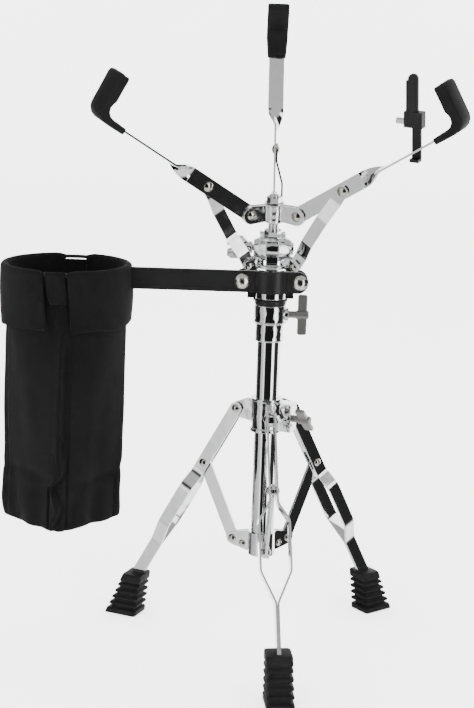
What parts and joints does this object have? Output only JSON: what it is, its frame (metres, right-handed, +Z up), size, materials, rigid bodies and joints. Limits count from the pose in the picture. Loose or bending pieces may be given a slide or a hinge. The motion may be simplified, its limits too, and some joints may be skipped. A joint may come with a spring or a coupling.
{
  "type": "snare drum stand",
  "caption": "Folding tripod stand with a tilting, three-arm drum basket and a fabric drumstick bag clamped to its upper tube.",
  "frame": {"origin": "on the floor, on the axis of the stand tube", "axes": "+Z up along the tube; -Y is the front, where the picture was taken from; the bag is on -X"},
  "size_m": [0.4725, 0.3405, 0.7041],
  "materials": {
    "foot_rubber": "matt, ribbed",
    "rest_rubber": "satin",
    "bag_fabric": "matt woven",
    "black_steel": "satin black",
    "bolt_steel": "bright",
    "liner_rubber": "matt",
    "black_nylon": "moulded",
    "clip_plastic": "moulded",
    "rivet_steel": "bright",
    "strip_chrome": "plated",
    "cast_chrome": "plated",
    "tube_chrome": "plated"
  },
  "bodies": {
    "base": {"base_tube": "tube_chrome", "height_collar": "cast_chrome", "height_bushing": "black_nylon", "tube_plug": "black_nylon", "lower_bracket": "strip_chrome", "lower_bracket_rivets": "rivet_steel"},
    "height_screw": {"height_wing_bolt": "cast_chrome"},
    "upper": {"upper_tube": "tube_chrome"},
    "tilter": {"tilter_base": "cast_chrome"},
    "leg_slider": {"leg_bracket": "cast_chrome", "leg_bracket_rivets": "rivet_steel"},
    "leg_screw": {"leg_lock_wing_bolt": "cast_chrome"},
    "basket": {"tilter_yoke": "cast_chrome", "tilter_washer": "tube_chrome", "basket_rod": "tube_chrome", "rod_jam_nut": "tube_chrome", "lower_spider": "cast_chrome", "lower_spider_rivets": "rivet_steel"},
    "tilt_screw": {"tilter_wing_screw": "cast_chrome"},
    "arm_slider": {"upper_spider": "cast_chrome", "upper_spider_rivets": "rivet_steel"},
    "spin_nut": {"basket_nut": "tube_chrome"},
    "clip_screw": {"accessory_clip_screw": "bolt_steel"},
    "stick_holder": {"holder_bar": "black_steel", "holder_clamp_plate": "black_steel", "holder_bolts": "bolt_steel", "holder_nuts": "bolt_steel", "holder_liner": "liner_rubber", "bag_hoop": "black_steel", "stick_bag": "bag_fabric"},
    "leg_front": {"front_leg_strip_a": "strip_chrome", "front_leg_strip_b": "strip_chrome", "front_foot": "foot_rubber", "front_leg_rivet": "rivet_steel"},
    "brace_front": {"front_leg_brace": "strip_chrome"},
    "leg_left": {"left_leg_strip_a": "strip_chrome", "left_leg_strip_b": "strip_chrome", "left_foot": "foot_rubber", "left_leg_rivet": "rivet_steel"},
    "brace_left": {"left_leg_brace": "strip_chrome"},
    "leg_right": {"right_leg_strip_a": "strip_chrome", "right_leg_strip_b": "strip_chrome", "right_foot": "foot_rubber", "right_leg_rivet": "rivet_steel"},
    "brace_right": {"right_leg_brace": "strip_chrome"},
    "arm_left": {"left_arm": "strip_chrome", "left_drum_rest": "rest_rubber", "left_arm_rivet": "rivet_steel"},
    "arm_brace_left": {"left_arm_brace": "strip_chrome"},
    "arm_right": {"right_arm": "strip_chrome", "right_drum_rest": "rest_rubber", "right_arm_rivet": "rivet_steel", "accessory_clip_body": "clip_plastic", "accessory_clip_bar": "clip_plastic"},
    "arm_brace_right": {"right_arm_brace": "strip_chrome"},
    "arm_back": {"back_arm": "strip_chrome", "back_drum_rest": "rest_rubber", "back_arm_rivet": "rivet_steel"},
    "arm_brace_back": {"back_arm_brace": "strip_chrome"}
  },
  "joints": [
    {"name": "height_slide", "type": "slide", "parent": "base", "child": "upper", "axis": [0, 0, 1], "range_m": [0, 0.15]},
    {"name": "basket_swivel", "type": "hinge", "parent": "upper", "child": "tilter", "pos_m": [0, 0, 0.42], "axis": [0, 0, 1], "range_deg": [-180, 180]},
    {"name": "height_screw_turn", "type": "hinge", "parent": "base", "child": "height_screw", "pos_m": [0.03, 0, 0.375], "axis": [1, 0, 0], "continuous": true},
    {"name": "leg_slide", "type": "slide", "parent": "base", "child": "leg_slider", "axis": [0, 0, 1], "range_m": [0, 0.0179]},
    {"name": "leg_screw_turn", "type": "hinge", "parent": "leg_slider", "child": "leg_screw", "pos_m": [0.03674, -0.01582, 0.262], "axis": [0.9184, -0.3955, 0], "continuous": true},
    {"name": "leg_front_fold", "type": "hinge", "parent": "leg_slider", "child": "leg_front", "pos_m": [0.00402, -0.03426, 0.266], "axis": [0.9932, 0.1167, 0], "range_deg": [0, 26.41]},
    {"name": "brace_front_fold", "type": "hinge", "parent": "leg_front", "child": "brace_front", "pos_m": [0.00844, -0.07189, 0.19793], "axis": [0.9932, 0.1167, 0], "range_deg": [-48.59, 0]},
    {"name": "leg_left_fold", "type": "hinge", "parent": "leg_slider", "child": "leg_left", "pos_m": [-0.03169, 0.01365, 0.266], "axis": [-0.3955, -0.9184, 0], "range_deg": [0, 26.41]},
    {"name": "brace_left_fold", "type": "hinge", "parent": "leg_left", "child": "brace_left", "pos_m": [-0.06648, 0.02863, 0.19793], "axis": [-0.3955, -0.9184, 0], "range_deg": [-48.59, 0]},
    {"name": "leg_right_fold", "type": "hinge", "parent": "leg_slider", "child": "leg_right", "pos_m": [0.02766, 0.02062, 0.266], "axis": [-0.5976, 0.8018, 0], "range_deg": [0, 26.41]},
    {"name": "brace_right_fold", "type": "hinge", "parent": "leg_right", "child": "brace_right", "pos_m": [0.05804, 0.04326, 0.19793], "axis": [-0.5976, 0.8018, 0], "range_deg": [-48.59, 0]},
    {"name": "basket_tilt", "type": "hinge", "parent": "tilter", "child": "basket", "pos_m": [0, 0, 0.447], "axis": [1, 0, 0], "range_deg": [-26, 2]},
    {"name": "tilt_screw_turn", "type": "hinge", "parent": "basket", "child": "tilt_screw", "pos_m": [-0.03, 0, 0.447], "axis": [1, 0, 0], "continuous": true},
    {"name": "arm_slide", "type": "slide", "parent": "basket", "child": "arm_slider", "axis": [0, -0.2622, 0.965], "range_m": [-0.008, 0.0025]},
    {"name": "spin_nut_turn", "type": "hinge", "parent": "arm_slider", "child": "spin_nut", "pos_m": [0, -0.01468, 0.50104], "axis": [0, -0.2622, 0.965], "range_deg": [-1925, 605]},
    {"name": "arm_left_fold", "type": "hinge", "parent": "arm_slider", "child": "arm_left", "pos_m": [-0.02425, -0.02484, 0.48502], "axis": [0.5, -0.8357, -0.2271], "range_deg": [-17.5, 5.5]},
    {"name": "arm_brace_left_fold", "type": "hinge", "parent": "arm_left", "child": "arm_brace_left", "pos_m": [-0.06902, -0.06024, 0.51673], "axis": [0.5, -0.8357, -0.2271], "range_deg": [-3, 9.6]},
    {"name": "arm_right_fold", "type": "hinge", "parent": "arm_slider", "child": "arm_right", "pos_m": [0.02425, -0.02484, 0.48502], "axis": [0.5, 0.8357, 0.2271], "range_deg": [-17.5, 5.5]},
    {"name": "arm_brace_right_fold", "type": "hinge", "parent": "arm_right", "child": "arm_brace_right", "pos_m": [0.06902, -0.06024, 0.51673], "axis": [0.5, 0.8357, 0.2271], "range_deg": [-3, 9.6]},
    {"name": "arm_back_fold", "type": "hinge", "parent": "arm_slider", "child": "arm_back", "pos_m": [0, 0.01569, 0.49603], "axis": [-1, 0, 0], "range_deg": [-17.5, 5.5]},
    {"name": "arm_brace_back_fold", "type": "hinge", "parent": "arm_back", "child": "arm_brace_back", "pos_m": [0, 0.05513, 0.54808], "axis": [-1, 0, 0], "range_deg": [-3, 9.6]},
    {"name": "clip_screw_turn", "type": "hinge", "parent": "arm_right", "child": "clip_screw", "pos_m": [0.12439, -0.09769, 0.59121], "axis": [-0.8627, 0.5035, 0.0465], "continuous": true},
    {"name": "holder_turn", "type": "hinge", "parent": "tilter", "child": "stick_holder", "pos_m": [0, 0, 0.411], "axis": [0, 0, 1], "range_deg": [-170, 170]}
  ],
  "couplings": [
    {"joint": "leg_front_fold", "follows": "leg_slide", "rad_per_m": 25.609},
    {"joint": "brace_front_fold", "follows": "leg_slide", "rad_per_m": -47.186},
    {"joint": "leg_left_fold", "follows": "leg_slide", "rad_per_m": 25.609},
    {"joint": "brace_left_fold", "follows": "leg_slide", "rad_per_m": -47.186},
    {"joint": "leg_right_fold", "follows": "leg_slide", "rad_per_m": 25.609},
    {"joint": "brace_right_fold", "follows": "leg_slide", "rad_per_m": -47.186},
    {"joint": "spin_nut_turn", "follows": "arm_slide", "rad_per_m": 4188.8},
    {"joint": "arm_left_fold", "follows": "arm_slide", "rad_per_m": 37.5},
    {"joint": "arm_brace_left_fold", "follows": "arm_slide", "rad_per_m": -20.5},
    {"joint": "arm_right_fold", "follows": "arm_slide", "rad_per_m": 37.5},
    {"joint": "arm_brace_right_fold", "follows": "arm_slide", "rad_per_m": -20.5},
    {"joint": "arm_back_fold", "follows": "arm_slide", "rad_per_m": 37.5},
    {"joint": "arm_brace_back_fold", "follows": "arm_slide", "rad_per_m": -20.5}
  ]
}
